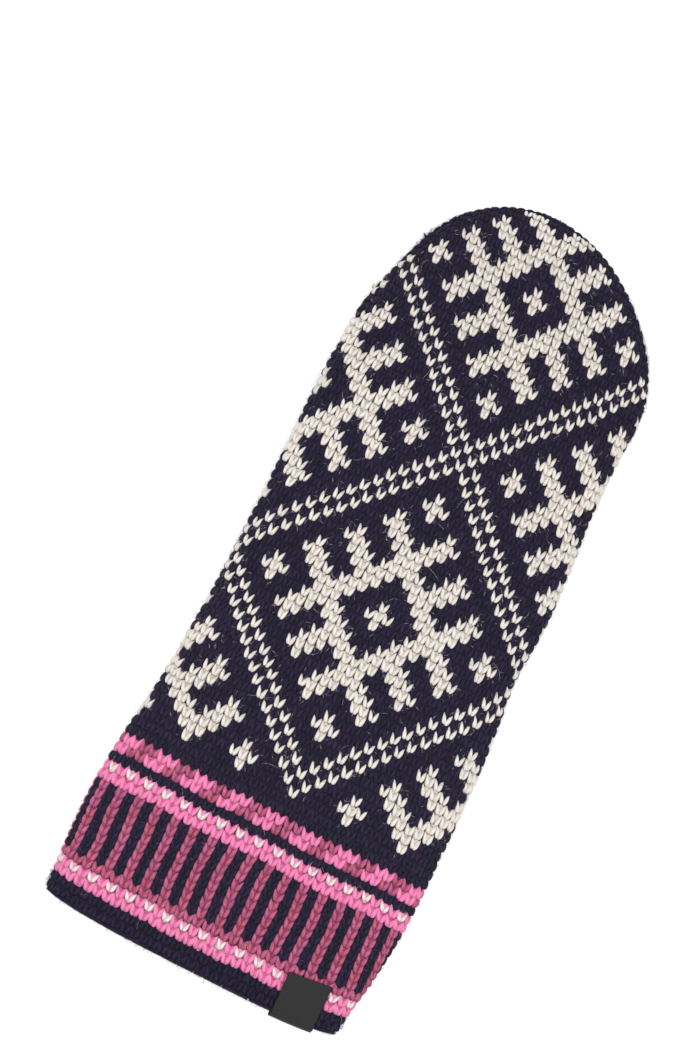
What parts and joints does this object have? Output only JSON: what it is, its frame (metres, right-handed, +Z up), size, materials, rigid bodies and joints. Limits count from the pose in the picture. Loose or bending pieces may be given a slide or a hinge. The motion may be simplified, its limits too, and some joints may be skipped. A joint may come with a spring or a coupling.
{
  "type": "wool mitten",
  "caption": "Hand-warming stranded-knit wool mitten for the right hand, lying palm down with its thumb tucked under the palm.",
  "frame": {"origin": "middle of the lying mitten's box, on the surface that it lies on", "axes": "+X across the hand away from the thumb, +Y from the cuff to the fingertips, +Z up out of the back of the hand"},
  "size_m": [0.1164, 0.2806, 0.0259],
  "materials": {
    "striped_wool": "matt stranded wool knit, navy with pink and rose stripes",
    "patterned_wool": "matt stranded wool knit, navy with a cream pattern",
    "navy_wool": "matt plain wool knit",
    "woven_label": "fine satin-woven ribbon"
  },
  "bodies": {
    "root": {"cuff": "striped_wool", "hand": "patterned_wool", "thumb": "navy_wool", "label": "woven_label"}
  },
  "joints": []
}
